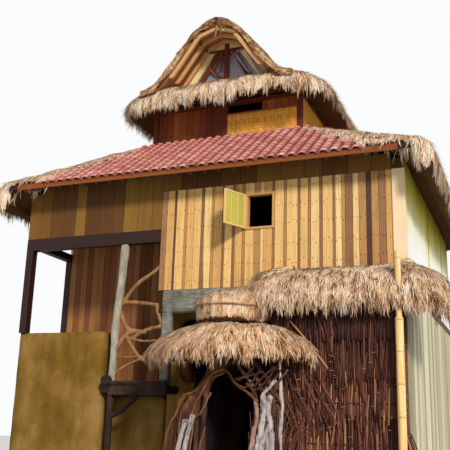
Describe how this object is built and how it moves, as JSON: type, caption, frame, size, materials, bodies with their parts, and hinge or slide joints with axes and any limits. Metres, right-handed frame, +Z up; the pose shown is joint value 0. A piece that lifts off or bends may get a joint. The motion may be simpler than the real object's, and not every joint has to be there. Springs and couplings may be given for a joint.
{
  "type": "thatched timber house",
  "caption": "Thatched timber house with a boarded upper room, tiled eaves, bell shaped gable roof, arched thatch porch, wattle front and a balcony with a driftwood rail.",
  "frame": {"origin": "on the ground under the middle of the house, at the underside of the ground slab", "axes": "+Z up, the front with the porch and balcony towards -Y, +X to the right seen from the front"},
  "size_m": [9.4337, 9.08, 10.5],
  "materials": {
    "plaster": "rough clay plaster, stained olive and brown",
    "slab": "plain screed",
    "grey_planks": "weathered grey planks",
    "dark_timber": "dark red brown stain",
    "driftwood": "pale driftwood, barked and dry",
    "honey_boards": "oiled honey and tan boards, upright",
    "cream_board": "pale new softwood",
    "white_panel": "matt off white panels",
    "orange_timber": "orange brown stain",
    "light_poles": "light poles",
    "clay_tiles": "dusty red clay pantiles",
    "thatch": "tan grass thatch",
    "woven_mat": "golden woven bamboo mat",
    "pane": "grey violet pane",
    "branches": "brown branches with bark",
    "wattle": "dark red brown sticks"
  },
  "bodies": {
    "root": {"ground_slab": "slab", "wing_walls": "plaster", "hall_wall_left": "plaster", "hall_wall_right": "plaster", "door_head": "plaster", "plank_wall_right": "grey_planks", "plank_wall_left": "grey_planks", "lower_wall_back": "plaster", "deck_floor": "dark_timber", "balcony_frame": "dark_timber", "balcony_rail": "driftwood", "log_post": "driftwood", "wing_frame": "dark_timber", "wing_boards": "dark_timber", "veranda_wall": "dark_timber", "lintel_frame": "grey_planks", "upper_floor": "dark_timber", "board_wall_front": "honey_boards", "eave_band": "honey_boards", "corner_board": "cream_board", "room_side_wall": "dark_timber", "panel_wall_right": "white_panel", "panel_wall_left": "white_panel", "board_wall_back": "honey_boards", "window_frame": "cream_board", "window_leaf": "cream_board", "eave_fascia": "orange_timber", "eave_rafters": "light_poles", "tile_roof": "clay_tiles", "side_thatch": "thatch", "attic_floor": "dark_timber", "attic_frame": "dark_timber", "attic_mats": "woven_mat", "attic_boards": "orange_timber", "attic_skirt": "thatch", "gable_thatch": "thatch", "gable_ribs": "light_poles", "gable_frame": "cream_board", "gable_truss": "dark_timber", "gable_glass": "pane", "porch_skirt": "thatch", "porch_dome": "thatch", "porch_arch": "branches", "driftwood_trunks": "driftwood", "wattle_wall": "wattle", "wattle_returns": "wattle", "awning_thatch": "thatch", "awning_poles": "light_poles"}
  },
  "joints": []
}
